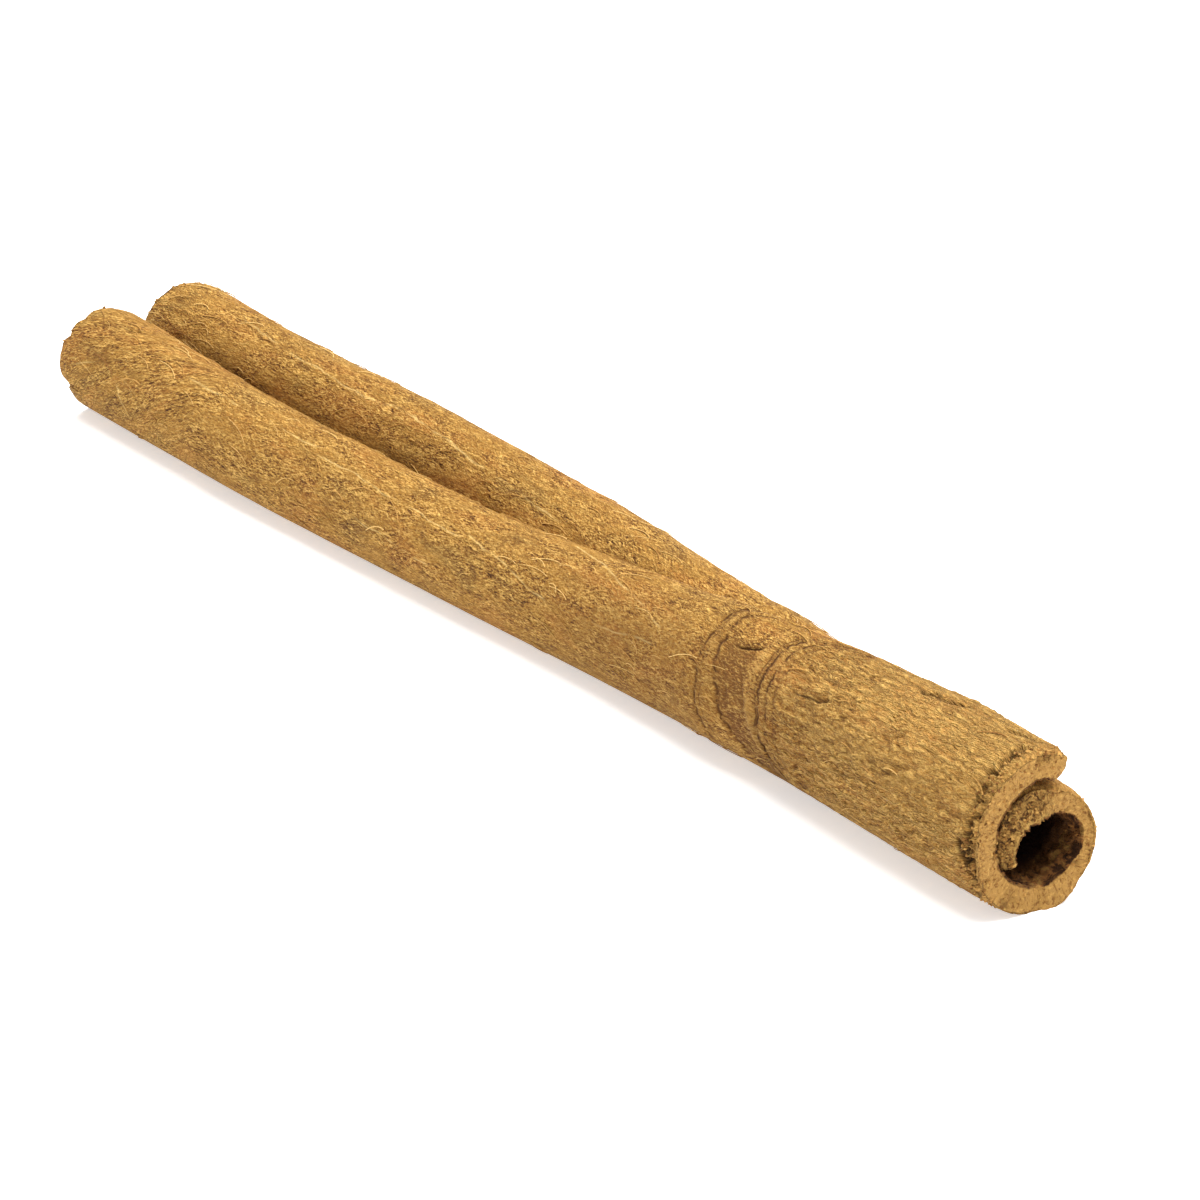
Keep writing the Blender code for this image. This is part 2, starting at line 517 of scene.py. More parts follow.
    def rim_pits(self) -> Amount:
        """Chain of crumbled pits along the near rim of the front part."""
        beads = grain(self.tree, (self.x * 1.9, self.up * 2.3, 29.0), 2.0, 0.6, 0.5)
        place = (self.up * 1.7).sin() * 0.12 - self.up.ease(9.5, 12.0) * 0.60 + 79.95
        chain = (self.x - place).bump(0.0, 0.34) * beads.ease(0.47, 0.56)
        return chain * self.up.ease(1.6, 3.0) * self.up.ease(14.0, 12.8)

    def veins(self) -> Amount:
        """Thin pale veins that run a little steeper than the stick."""
        faint = grain(self.tree, (self.x * 0.7, self.girth * 0.8, 51.0), 2.0, 0.6)
        return self.lines(VEINS) * faint.ease(0.32, 0.62)


@dataclass(frozen=True)
class BarkFinish:
    """Dry, fibrous bark: felt-like skin, grainy cut faces and the darker inside, with painted shade in its
    cracks, pits, chips and dents and deep in the hole.

    Granules, crumbs and blotches are counted in a metre.
    """

    name: str = "cinnamon_bark"
    body: Colour = linear(168, 121, 52)
    pale: Colour = linear(222, 176, 96)
    straw: Colour = linear(186, 143, 76)
    bast: Colour = linear(243, 206, 130)
    dark: Colour = linear(108, 68, 27)
    # deep brown: the darkest grain, and painted shade in cracks, pits, scale gaps, chips and dents
    deep: Colour = linear(54, 28, 9)
    ginger: Colour = linear(174, 114, 50)
    olive: Colour = linear(152, 118, 58)
    cut: Colour = linear(170, 128, 67)
    inside: Colour = linear(152, 100, 50)
    # near-black painted shade deep inside the hole, away from the cut ends
    hole_shade: Colour = linear(40, 15, 5)
    granules: float = 4200.0
    crumbs: float = 3200.0
    blotches: float = 1300.0
    relief: float = 0.13
    roughness: float = 0.9
    specular: float = 0.2

    def skin(self, tree: bpy.types.NodeTree, marks: BarkPattern, hollow_shade: Amount) -> tuple[Paint, Amount]:
        """Colour and fine height of the outer skin.

        Args:
            tree: The material's tree.
            marks: The bark's pattern.
            hollow_shade: How deep the shape's own dents are, where the skin paints shade.

        Returns:
            The paint, and the height that the relief takes.
        """
        coarse = marks.coarse
        felt = marks.hairs(1.7, 6.4, 0.35, 1.0) + marks.hairs(1.8, 7.0, -0.40, 2.0) * 0.9
        thread = marks.hairs(1.5, 9.5, 0.04, 3.0, 8.0)
        fine = marks.streaks(5.0, 10.0, 0.0, 5.0, 2.0, 0.6, 0.2) - 0.5
        soft = marks.streaks(0.45, 1.9, 0.05, 4.0, 3.0, 0.6, 0.5) - 0.5
        patch = marks.patches()
        lumps = marks.lumps()
        rise, gap_shade = marks.scales(lumps)
        strands = marks.hairs(0.30, 3.0, 0.06, 6.0, 16.0) + marks.hairs(0.42, 2.8, -0.20, 7.0, 18.0)
        busy = marks.busy()
        scratch = marks.hairs(0.6, 4.6, 0.10, 12.0, 24.0) * busy.ease(0.35, 0.9)
        weave = (felt - 0.75) * 0.25 + (thread - 0.4) * 0.28 + fine * 0.9
        tone = (weave + (strands - 0.5) * 0.13) * (busy * 0.75 + 0.65) * mixed(1.0, 0.6, coarse)
        tone = tone - scratch * 0.26
        # The coarse lumps and scales lighten their own tops and darken the dips between them: painted
        # highlight and painted shade
        tone = tone + soft * 0.24 + ((rise - 0.5) * 0.22 + (lumps - 0.5) * 1.6 + 0.11) * coarse

        paint = Paint(tree, self.body)
        paint.over(self.ginger, (patch.ease(0.50, 0.66) * 0.6 + coarse * 0.4).held())
        paint.over(self.olive, patch.ease(0.47, 0.33) * mixed(0.5, 0.1, coarse))
        paint.over(self.dark, (soft * 0.5 + patch).ease(0.46, 0.30) * 0.30)
        paint.over(self.dark, tone.ease(0.04, -0.42) * 0.95)
        paint.over(self.pale, tone.ease(-0.08, 0.44))
        paint.over(self.deep, tone.ease(-0.28, -0.60) * 0.7)
        # Painted shade in the gaps at the feet of the scales
        paint.over(self.deep, gap_shade * soft.ease(0.14, -0.08) * coarse * 0.7)
        band = marks.ring_band() * marks.on_front
        paint.over(self.dark, band * (tone.ease(0.35, -0.25) * 0.6 + 0.25))
        paint.over(self.straw, marks.ring_ridge() * marks.on_front * tone.ease(-0.4, 0.2) * 0.6)
        arcs = marks.arcs() * marks.on_front
        cracks = (marks.splits() + marks.rim_pits()) * marks.on_front
        paint.over(self.dark, arcs.held() * 0.85)
        paint.over(self.deep, arcs.ease(0.7, 1.3) * 0.5)
        # Painted shade inside the open cracks and the rim pits
        paint.over(self.deep, cracks.held() * 0.9)
        paint.over(self.bast, marks.veins().held() * 0.62)
        # The near part is paler all round, and higher up the front part paler still: painted light on the top
        # of the front roll
        paint.over(self.pale, marks.x.ease(62.0, 72.0) * (marks.up.ease(6.0, 12.0) * 0.14 + 0.13))
        paint.over(self.dark, marks.x.bump(52.0, 9.0) * marks.on_front * marks.up.ease(10.5, 7.0) * 0.30)
        paint.over(self.dark, marks.x.bump(2.6, 1.7) * marks.up.bump(6.3, 0.4) * 0.45)
        # Painted shade in the shape's pits and cracks
        paint.over(self.deep, hollow_shade.held() * 0.5)
        height = weave * 1.1 + soft * 0.7 + (lumps * 4.6 + rise * 1.0) * coarse - (arcs + cracks) * 0.9
        return paint, height

    def build(self) -> bpy.types.Material:
        """Make the material.

        Returns:
            The bark material, which reads the sheet's unrolled coordinates.
        """
        material, shader = dull_material(self.name, self.roughness, self.specular)
        tree = material.node_tree
        along, girth, depth = read_vector(tree, "unrolled")
        hollow_shade, rimmed, edge = read_vector(tree, "wear_and_hollow_shade")
        paint, height = self.skin(tree, BarkPattern(tree, along, girth), hollow_shade)

        where = tree.nodes.new("ShaderNodeTexCoord").outputs["Object"]
        granules = grain(tree, where, 3.0, 0.65, 0.3, self.granules)
        fibres = grain(tree, (girth * 6.0, depth * 2.2, along * 0.8), 3.0, 0.65, 0.5)
        cut = (edge.ease(0.06, 0.3) + rimmed * 0.4).held()
        face = Paint(tree, self.cut)
        face.over(self.pale, granules.ease(0.54, 0.70) * 0.4)
        face.over(self.dark, granules.ease(0.47, 0.34) * 0.7)
        face.over(self.dark, fibres.ease(0.47, 0.33) * 0.6)
        # Painted shade in the chips and gouges of the cut faces
        face.over(self.deep, hollow_shade.ease(0.1, 0.9) * 0.75)
        # Painted shade on the recessed, torn cut face of the inner roll, broken by paler crumbs and a paler
        # inner edge
        tucked = girth.ease(8.6, 10.8) * along.ease(60.0, 70.0)
        crumble = grain(tree, where, 3.0, 0.7, 0.6, self.crumbs)
        face.over(self.deep, crumble.ease(0.55, 0.36) * tucked * 0.9)
        face.over(self.pale, (crumble.ease(0.55, 0.68) + depth.ease(0.80, 0.93)).held() * tucked * 0.55)
        paint.over(face.socket, cut)

        # Painted shade: the inside wall is near black further in and takes the inside colour only near the
        # two cut ends
        mouth = along.ease(77.2, 79.6) + along.ease(2.0, 0.0)
        wall = Paint(tree, self.hole_shade)
        wall.over(self.inside, mouth)
        blotch = grain(tree, where, 3.0, 0.65, 0.5, self.blotches)
        wall.over(self.deep, blotch.ease(0.52, 0.42) * mouth * 0.9)
        wall.over(self.pale, blotch.ease(0.53, 0.64) * mouth * 0.45)
        paint.over(wall.socket, depth.ease(0.9, 0.99))
        tree.links.new(paint.socket, shader.inputs["Base Color"])
        cut_height = granules * 1.4 + fibres * 0.8 + crumble * tucked * 2.0
        raise_relief(shader, mixed(height, cut_height, cut), self.relief)
        return material


@dataclass(frozen=True)
class PlainFinish:
    """One even colour with a dull surface."""

    name: str
    colour: Colour
    glow: float = 0.0
    roughness: float = 0.9
    specular: float = 0.2

    def build(self) -> bpy.types.Material:
        """Make the material.

        Returns:
            The plain material.
        """
        material, shader = dull_material(self.name, self.roughness, self.specular)
        shader.inputs["Base Color"].default_value = (*self.colour, 1.0)
        shader.inputs["Emission Color"].default_value = WHITE
        shader.inputs["Emission Strength"].default_value = self.glow
        return material


def dull_material(name: str, roughness: float,
                  specular: float) -> tuple[bpy.types.Material, bpy.types.Node]:
    """Start a dull material.

    Args:
        name: The material's name.
        roughness: How dull it is, from 0 to 1.
        specular: How strongly it mirrors, from 0 to 1.

    Returns:
        The material and its shader node.
    """
    material = bpy.data.materials.new(name)
    material.use_nodes = True
    shader = material.node_tree.nodes["Principled BSDF"]
    shader.inputs["Roughness"].default_value = roughness
    shader.inputs["Specular IOR Level"].default_value = specular
    return material, shader


def raise_relief(shader: bpy.types.Node, height: Amount, depth: float) -> None:
    """Give a shader a fine relief.

    Args:
        shader: The shader node.
        height: The relief's height.
        depth: How much one unit of height is, in millimetres.
    """
    relief = height.tree.nodes.new("ShaderNodeBump")
    relief.inputs["Strength"].default_value = 1.0
    relief.inputs["Distance"].default_value = depth * MM
    feed(height.tree, height, relief.inputs["Height"])
    height.tree.links.new(relief.outputs["Normal"], shader.inputs["Normal"])


def read_vector(tree: bpy.types.NodeTree, name: str) -> tuple[Amount, Amount, Amount]:
    """Read a stored vector of the mesh in a material.

    Args:
        tree: The material's tree.
        name: Name of the attribute.

    Returns:
        Its three numbers.
    """
    source = tree.nodes.new("ShaderNodeAttribute")
    source.attribute_name = name
    parts = tree.nodes.new("ShaderNodeSeparateXYZ")
    tree.links.new(source.outputs["Vector"], parts.inputs[0])
    return tuple(Amount(tree, socket) for socket in parts.outputs)


def finished_mesh(carrier: bpy.types.Object) -> bpy.types.Mesh:
    """Copy an object's mesh as its modifiers leave it.

    Args:
        carrier: The object.

    Returns:
        A plain mesh that carries all that the object's own does.
    """
    graph = bpy.context.evaluated_depsgraph_get()
    return bpy.data.meshes.new_from_object(carrier.evaluated_get(graph), preserve_all_data_layers=True,
                                           depsgraph=graph)


@dataclass
class NodeBench:
    """A geometry tree with named inputs, and the values that they get."""

    title: str
    tree: bpy.types.NodeTree = field(init=False)
    values: dict[str, Union[float, int, bpy.types.ID]] = field(init=False, default_factory=dict)

    def __post_init__(self) -> None:
        """Create the tree with its geometry input and output."""
        self.tree = bpy.data.node_groups.new(self.title, "GeometryNodeTree")
        for name, way in (("Start", "INPUT"), ("Result", "OUTPUT")):
            self.tree.interface.new_socket(name=name, in_out=way, socket_type="NodeSocketGeometry")
        self.start = self.tree.nodes.new("NodeGroupInput")
        self.finish = self.tree.nodes.new("NodeGroupOutput")

    def take(self, name: str, value: float) -> Amount:
        """Add a named number to the tree's inputs.

        Args:
            name: Name of the input.
            value: The value that the modifier sets.

        Returns:
            The number inside the tree.
        """
        socket = self.tree.interface.new_socket(name=name, in_out="INPUT", socket_type="NodeSocketFloat")
        self.values[socket.identifier] = float(value)
        return Amount(self.tree, self.start.outputs[name])

    def take_item(self, name: str, kind: str, item: bpy.types.ID) -> bpy.types.NodeSocket:
        """Add a named material or object to the tree's inputs.

        Args:
            name: Name of the input.
            kind: Socket type.
            item: The material or object that the modifier sets.

        Returns:
            The socket inside the tree.
        """
        socket = self.tree.interface.new_socket(name=name, in_out="INPUT", socket_type=kind)
        self.values[socket.identifier] = item
        return self.start.outputs[name]

    def node(self, kind: str, **settings: object) -> bpy.types.Node:
        """Add a node and set its properties.

        Args:
            kind: The node's type.
            settings: Properties by name.

        Returns:
            The node.
        """
        made = self.tree.nodes.new(kind)
        for name, value in settings.items():
            setattr(made, name, value)
        return made

    def link(self, source: bpy.types.NodeSocket, target: bpy.types.NodeSocket) -> None:
        """Connect two sockets."""
        self.tree.links.new(source, target)

    def after(self, shape: bpy.types.NodeSocket, kind: str, **settings: object) -> bpy.types.Node:
        """Add a node that works on a mesh, which is its first input.

        Args:
            shape: The mesh.
            kind: The node's type.
            settings: Properties by name.

        Returns:
            The node.
        """
        made = self.node(kind, **settings)
        self.link(shape, made.inputs[0])
        return made

    def split(self, vector: bpy.types.NodeSocket) -> tuple[Amount, Amount, Amount]:
        """Take a vector apart into its three numbers."""
        parts = self.node("ShaderNodeSeparateXYZ")
        self.link(vector, parts.inputs[0])
        return tuple(Amount(self.tree, socket) for socket in parts.outputs)

    def stored(self, name: str) -> tuple[Amount, Amount, Amount]:
        """Read a vector that the mesh carries.

        Args:
            name: Name of the attribute.

        Returns:
            Its three numbers.
        """
        known = self.node("GeometryNodeInputNamedAttribute", data_type="FLOAT_VECTOR")
        known.inputs["Name"].default_value = name
        return self.split(known.outputs["Attribute"])

    def end(self, geometry: bpy.types.NodeSocket, material: bpy.types.NodeSocket) -> None:
        """Close the tree with Realize Instances and Set Material.

        Args:
            geometry: What the tree has made.
            material: The material that it gets.
        """
        real = self.after(geometry, "GeometryNodeRealizeInstances")
        dress = self.after(real.outputs[0], "GeometryNodeSetMaterial")
        self.link(material, dress.inputs["Material"])
        self.link(dress.outputs[0], self.finish.inputs[0])

    def run(self, name: str, source: Union[bpy.types.Mesh, None] = None) -> bpy.types.Object:
        """Evaluate the tree on a carrier and keep the result as a plain mesh.

        Args:
            name: Name of the finished piece.
            source: Mesh that the tree starts from, where it needs one.

        Returns:
            The finished piece at the origin.
        """
        carrier = bpy.data.objects.new(name + "_carrier", source or bpy.data.meshes.new(name + "_start"))
        bpy.context.scene.collection.objects.link(carrier)
        modifier = carrier.modifiers.new("build", "NODES")
        modifier.node_group = self.tree
        for identifier, value in self.values.items():
            modifier[identifier] = value
        mesh = finished_mesh(carrier)
        mesh.name = name
        carrier.modifiers.clear()
        bpy.data.objects.remove(carrier)
        piece = bpy.data.objects.new(name, mesh)
        bpy.context.scene.collection.objects.link(piece)
        return piece


@dataclass
class Section:
    """Numbers of one place on the sheet inside the tree."""

    along: Amount
    across: Amount
    depth: Amount


@dataclass
class CurledSheet:
    """The bark: a sheet with a flat foot, curled from both long edges."""

    front_radius: Stages = (2.94, 2.69, 2.69, 3.88, 4.18)
    back_radius: Stages = (3.00, 3.04, 3.07, 3.03, 3.21)
    front_across: Stages = (-2.53, -2.43, -1.17, 0.21, -0.21)
    back_across: Stages = (2.55, 3.08, 3.00, 1.77, 0.19)
    front_wrap: Stages = (285.0, 254.0, 211.0, 182.0, 203.0)
    back_wrap: Stages = (290.0, 290.0, 290.0, 290.0, 288.0)
    back_curl: Stages = (0.36, 0.37, 0.37, 0.36, 0.29)
    spans: Sequence[tuple[float, float]] = ((0.0, 28.0), (12.0, 48.0), (32.0, 68.0), (52.0, 80.0))
    front_curl: float = 0.30
    middle: float = 39.591
    sideways: float = -0.306
    foot_cut: float = 0.05
    sheet: float = 1.28
    front_swell: float = 0.48
    back_thin: float = 0.50
    back_swell: float = 0.30
    edge_round: float = 0.40
    ragged: float = 0.40
    far_slant: float = 0.55
    far_notch: float = 0.70
    far_nicks: Sequence[tuple[float, float, float]] = (
        (0.331, 0.008, 0.45), (0.244, 0.007, 0.22), (0.293, 0.012, 0.15),
        (0.205, 0.010, 0.20), (0.80, 0.012, 0.25))
    rim_wear: float = 0.14
    lip_swell: float = 0.18
    front_share: float = 0.44
    foot_share: float = 0.10
    places_along: int = 400
    places_round: int = 226
    places_deep: int = 14
    kept_share: float = 0.49
    weld: float = 0.002

    def stage(self, bench: NodeBench, name: str, sizes: Stages, along: Amount) -> Amount:
        """Ease a size through its five stages along the stick.

        Args:
            bench: The tree.
            name: Name of the size.
            sizes: Its five values from the far end to the near end.
            along: Place along the stick.

        Returns:
            The size at that place.
        """
        inputs = [bench.take(f"{name} {i + 1}", size) for i, size in enumerate(sizes)]
        total: Amount = inputs[0]
        for (start, end), low, high in zip(self.spans, inputs[:-1], inputs[1:]):
            total = total + (high - low) * along.ease(start, end)
        return total

    def place(self, bench: NodeBench,
              at: Section) -> tuple[Amount, Amount, Amount, dict[str, bpy.types.NodeSocket]]:
        """Work out where a place on the sheet lies.

        Args:
            bench: The tree.
            at: Place along the stick, across the sheet and into its depth.

        Returns:
            The three coordinates in millimetres and the vectors to store.
        """
        tree = bench.tree
        x = at.along
        far, near = StickEnd.FAR.value, StickEnd.NEAR.value
        front_radius = self.stage(bench, "Front radius", self.front_radius, x)
        back_radius = self.stage(bench, "Back radius", self.back_radius, x)
        front_across = self.stage(bench, "Front across", self.front_across, x)
        back_across = self.stage(bench, "Back across", self.back_across, x)
        front_wrap = self.stage(bench, "Front wrap", self.front_wrap, x) - x.ease(near - 1.7, near) * 5.0
        back_wrap = self.stage(bench, "Back wrap", self.back_wrap, x)
        back_curl = self.stage(bench, "Back curl", self.back_curl, x)
        front_curl = front_wrap.ease(205.0, 285.0) * bench.take("Front curl", self.front_curl)

        foot_end = self.front_share + self.foot_share
        front = (1.0 - at.across / self.front_share).held() * front_wrap
        foot = ((at.across - self.front_share) / self.foot_share).held()
        back = ((at.across - foot_end) / (1.0 - foot_end)).held() * back_wrap
        signed = back - front
        angle = back + front
        turn = signed * (math.pi / 180.0)
        radius = mixed(front_radius, back_radius, foot)
        middle = mixed(front_across, back_across, foot)
        side = (at.across - 0.5).sign()

        curl = mixed(front_curl, back_curl, foot)
        kept = 1.0 - curl * ((angle - 150.0) / 140.0).least(0.0) ** 1.5
        sheet = bench.take("Sheet thickness", self.sheet)
        front_thick = sheet + (angle * (0.75 * math.pi / 180.0)).sin() * self.front_swell
        back_thick = (sheet - angle.bump(95.0, 40.0) * self.back_thin
                      + angle.bump(180.0, 40.0) * self.back_swell) * (1.0 - angle.ease(215.0, 290.0) * 0.45)
        thick = mixed(front_thick, back_thick, foot)

        girth = turn * radius + foot * (back_across - front_across)
        outside = at.depth.ease(0.12, 0.0)
        inside = at.depth.ease(0.88, 1.0)
        off_foot = angle.ease(25.0, 70.0)
        relief, hollow_shade = self.skin(bench, x, girth, turn)
        relief = relief + x.bump(73.0, 3.2) * (-signed).ease(140.0, 180.0) * self.lip_swell
        wear_and_hollow_shade = (x.ease(near - 1.0, near) + x.ease(far + 1.0, far)) * self.rim_wear
        wear_and_hollow_shade = wear_and_hollow_shade + (x.ease(near - 0.35, near) ** 2.0) * 0.16
        lining = grain(tree, (x * 1.2, girth * 1.3, 31.0), 3.0, 0.65, 0.4) - 0.5
        lining = lining * (x.bump(78.6, 1.1) * 1.0 + x.ease(77.6, near) * 0.25 + 0.25)
        skin = (radius * kept + off_foot * (relief - wear_and_hollow_shade) * outside + lining * inside)
        reach = skin - at.depth * thick

        bow = (1.0 - (at.depth * 2.0 - 1.0) ** 2.0).least(0.0) ** 0.5
        torn = grain(tree, (x * 0.9, at.depth * 2.0, side), 4.0, 0.65) - 0.5
        lip = (at.across.ease(0.004, 0.0) + at.across.ease(0.996, 1.0)) * side
        push = lip * (bow * self.edge_round * thick + torn * 0.35)
        y = middle + reach * turn.sin() + push * turn.cos()
        z = (radius - self.foot_cut - reach * turn.cos() + push * turn.sin()).least(0.0)
        along, chip = self.ends(bench, x, at, girth, thick, angle)
        band = x.ease(79.7, 80.3) * outside
        stored = {
            "unrolled": point(tree, along, girth, at.depth),
            # The second stored vector's first number is how deep the dents and chips are, which the finish
            # paints as shade; the others mark the near rim band and the cut faces.
            "wear_and_hollow_shade": point(tree, hollow_shade * outside + chip, band, (at.depth * (1.0 - at.depth) * 4.0)),
        }
        return along - self.middle, y + self.sideways, z, stored

    def skin(self, bench: NodeBench, x: Amount, girth: Amount, turn: Amount) -> tuple[Amount, Amount]:
        """Relief of the outer skin.

        Args:
            bench: The tree.
            x: Place along the stick.
            girth: Place round the sheet, in millimetres from the foot.
            turn: Signed angle round the roll.

        Returns:
            The height over the plain roll, and how deep a dent is, which the finish paints as shade.
        """
        marks = BarkPattern(bench.tree, x, girth)
        swell = ((x / 3.1 - turn * 2.0).sin() + (x / 5.3 + turn * 3.0 + 1.0).sin()) * 0.04
        ring = x.bump(turn.cos() * 1.4 + 56.0, 1.7) * 0.13
        waist = x.bump(62.0, 3.4) * 0.10
        lumps = marks.lumps()
        # Pits between the coarse lumps, which the finish paints as shade
        pits = lumps.ease(0.44, 0.28)
        cracks = (marks.splits() + marks.rim_pits() * 1.6 + marks.arcs() * 0.32) * marks.on_front
        felt = marks.streaks(0.9, 2.6, 0.2, 70.0, 3.0, 0.6, 0.5) - 0.5
        band = (marks.ring_ridge() * 0.06 - marks.ring_band() * 0.12) * marks.on_front
        height = (swell + ring - waist + marks.waves() * 0.18 + felt * 0.10 + band
                  + (lumps - 0.5) * marks.coarse * (0.55 - marks.up.ease(9.5, 12.5) * 0.3) - cracks * 0.24)
        return height, pits * marks.coarse * 0.15 + cracks * 0.7

    def ends(self, bench: NodeBench, x: Amount, at: Section, girth: Amount, thick: Amount,
             angle: Amount) -> tuple[Amount, Amount]:
        """Uneven cuts at the two ends.

        Args:
            bench: The tree.
            x: Place along the stick.
            at: The place on the sheet.
            girth: Place round the sheet.
            thick: Thickness of the sheet.
            angle: Place round its own roll, in degrees from the foot.

        Returns:
            The place along the stick with the cut's unevenness, and how deep a chip is, which the finish
            paints as shade.
        """
        tree = bench.tree
        far_cut, near_cut = StickEnd.FAR.value, StickEnd.NEAR.value
        inward = at.depth * thick
        turn = at.across * (2.0 * math.pi)
        far = (turn * 2.0 + 0.6).sin() * 0.27 + (turn * 5.0).sin() * 0.18
        far = far + at.depth.bump(0.5, 0.3) * 0.3 + 0.45
        far = far * self.ragged + at.across.bump(0.355, 0.045) * self.far_notch - at.across * self.far_slant
        for place, width, deep in self.far_nicks:
            far = far + at.across.bump(place, width) * deep
        near = ((turn * 3.0 + 1.0).sin() + (turn * 7.0).sin()) * 0.15 + 0.3 + at.depth * 0.5
        rough = grain(tree, (girth * 1.7, inward * 1.9, x * 0.02), 4.0, 0.7, 0.4) - 0.5
        chips = grain(tree, (girth * 0.9, inward * 1.2, x * 0.02 + 5.0), 3.0, 0.6).ease(0.54, 0.74)
        tucked = (at.across - 0.5).sign().least(0.0) * angle.ease(150.0, 190.0)
        slope = tucked * (1.0 - at.depth) * 0.95
        strands = grain(tree, (girth * 3.2, inward * 0.8, 77.0), 3.0, 0.65, 0.5) - 0.5
        moved = (x + x.ease(far_cut + 1.6, far_cut) * (far + rough * 0.5 + chips * 0.2)
                 - x.ease(near_cut - 2.4, near_cut) * (near * self.ragged + rough * 0.4 + chips * 0.2 + slope
                                                       + tucked * strands * 0.7))
        face = x.ease(near_cut - 0.05, near_cut) + x.ease(far_cut + 0.05, far_cut)
        hollow_shade = chips * 0.5 + (rough * -3.0).held() * 0.6 + tucked * ((1.0 - at.depth) * 0.2 - strands * 2.0)
        return moved, hollow_shade.held() * face

    def mark(self, bench: NodeBench, shape: bpy.types.NodeSocket, name: str,
             vector: bpy.types.NodeSocket) -> bpy.types.NodeSocket:
        """Store a vector on every point of a mesh.

        Args:
            bench: The tree.
            shape: The mesh.
            name: Name of the attribute.
            vector: What to store.

        Returns:
            The mesh that carries it.
        """
        keep = bench.after(shape, "GeometryNodeStoreNamedAttribute", data_type="FLOAT_VECTOR", domain="POINT")
        keep.inputs["Name"].default_value = name
        bench.link(vector, keep.inputs["Value"])
        return keep.outputs["Geometry"]

    def curl_up(self, bench: NodeBench, shape: bpy.types.NodeSocket) -> bpy.types.NodeSocket:
        """Bend the flat grids onto the sheet and store what the finish reads.

        Args:
            bench: The tree.
            shape: The joined grids, whose points know their place on the sheet.

        Returns:
            The curled surface.
        """
        x, y, z, stored = self.place(bench, Section(*bench.stored("sheet_place")))
        for name, vector in stored.items():
            shape = self.mark(bench, shape, name, vector)
        bend = bench.after(shape, "GeometryNodeSetPosition")
        bench.link(point(bench.tree, x * MM, y * MM, z * MM), bend.inputs["Position"])
        return bend.outputs["Geometry"]

    def grid(self, bench: NodeBench, wide: int, tall: int) -> tuple[bpy.types.Node, Amount, Amount]:
        """A flat grid with its two shares from 0 to 1.

        Args:
            bench: The tree.
            wide: Points one way.
            tall: Points the other way.

        Returns:
            The grid node and the two shares.
        """
        node = bench.node("GeometryNodeMeshGrid")
        for name, value in (("Size X", 1.0), ("Size Y", 1.0), ("Vertices X", wide), ("Vertices Y", tall)):
            node.inputs[name].default_value = value
        along, aside, _ = bench.split(bench.node("GeometryNodeInputPosition").outputs[0])
        return node, along + 0.5, aside + 0.5

    def turned(self, bench: NodeBench, shape: bpy.types.NodeSocket) -> bpy.types.NodeSocket:
        """Turn the faces of a surface over, so that they point out of the bark."""
        return bench.after(shape, "GeometryNodeFlipFaces").outputs[0]

    def spread(self, share: Amount) -> Amount:
        """Space the grid closer at the ends, most of all at the near one."""
        half = share * math.pi
        return share - (half * 2.0).sin() * 0.05 + half.sin() * 0.08

    def build(self, finish: BarkFinish) -> bpy.types.Object:
        """Build the closed, curled sheet.

        Args:
            finish: The bark's finish.

        Returns:
            The finished piece.
        """
        bench = NodeBench("curled_sheet")
        material = bench.take_item("Bark", "NodeSocketMaterial", finish.build())
        far_cut = bench.take("Far cut", StickEnd.FAR.value)
        length = bench.take("Length", StickEnd.NEAR.value - StickEnd.FAR.value)
        rows, deep = self.places_round - 1, self.places_deep - 1
        around = 2 * rows + 2 * deep

        skin, along, loop = self.grid(bench, self.places_along, around + 1)
        step = loop * float(around)
        across = (step / rows).held() - ((step - (rows + deep)) / rows).held()
        depth = ((step - rows) / deep).held() - ((step - (2 * rows + deep)) / deep).held()
        surfaces = [self.turned(bench, self.mark(
            bench, skin.outputs["Mesh"], "sheet_place",
            point(bench.tree, self.spread(along) * length + far_cut, across, depth)))]
        for end in StickEnd:
            cap, side, inward = self.grid(bench, self.places_round, self.places_deep)
            face = self.mark(bench, cap.outputs["Mesh"], "sheet_place",
                             point(bench.tree, end.value, side, inward))
            surfaces.append(self.turned(bench, face) if end is StickEnd.FAR else face)
        join = bench.node("GeometryNodeJoinGeometry")
        for shape in surfaces:
            bench.link(shape, join.inputs[0])
        weld = bench.after(self.curl_up(bench, join.outputs[0]), "GeometryNodeMergeByDistance")
        weld.inputs["Distance"].default_value = self.weld * MM
        bench.end(bench.after(weld.outputs[0], "GeometryNodeSetShadeSmooth").outputs[0], material)
        return self.thin(bench.run("curled_bark"))

    def thin(self, piece: bpy.types.Object) -> bpy.types.Object:
        """Drop the faces that the shape needs least and keep the rest.

        Args:
            piece: The finely divided sheet.

        Returns:
            The same sheet with fewer faces, where they matter least.
        """
        modifier = piece.modifiers.new("thin", "DECIMATE")
        modifier.ratio = self.kept_share
        mesh = finished_mesh(piece)
        piece.modifiers.clear()
        fine = piece.data
        piece.data = mesh
        bpy.data.meshes.remove(fine)
        return piece


